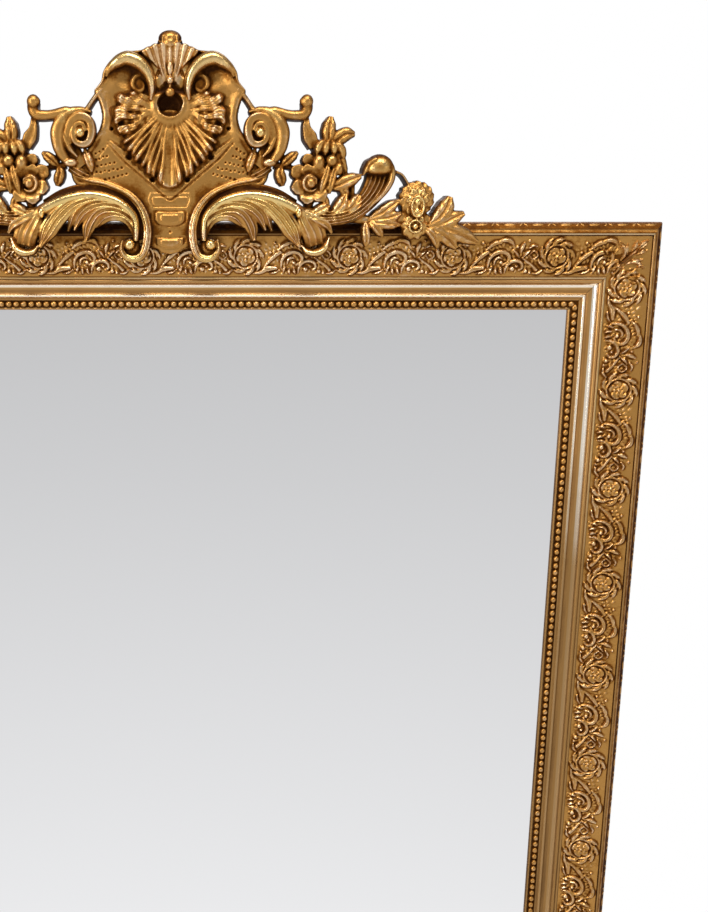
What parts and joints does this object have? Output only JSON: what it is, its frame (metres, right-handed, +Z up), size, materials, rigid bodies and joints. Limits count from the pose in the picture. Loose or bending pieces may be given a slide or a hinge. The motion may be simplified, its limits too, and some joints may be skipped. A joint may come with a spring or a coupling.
{
  "type": "wall mirror",
  "caption": "Giltwood overmantel wall mirror: mitred rails with scroll frieze and bead sight edge, silvered plate, pierced crest with shell, scrolls, acanthus and flowers.",
  "frame": {"origin": "centre of the back face of the top rail, where the mirror is fixed to the wall", "axes": "+Z up, +Y into the wall, front faces -Y, +X to the right seen from the front"},
  "size_m": [1.09, 0.067, 1.6497],
  "materials": {
    "gilt_wood": "gold leaf over red bole, worn, burnished on the plain mouldings",
    "silvered_glass": "silvered, clear",
    "back_wood": "bare, aged softwood"
  },
  "bodies": {
    "root": {"top_rail": "gilt_wood", "right_rail": "gilt_wood", "bottom_rail": "gilt_wood", "left_rail": "gilt_wood", "mirror_plate": "silvered_glass", "backboard": "back_wood", "crest": "gilt_wood"}
  },
  "joints": []
}
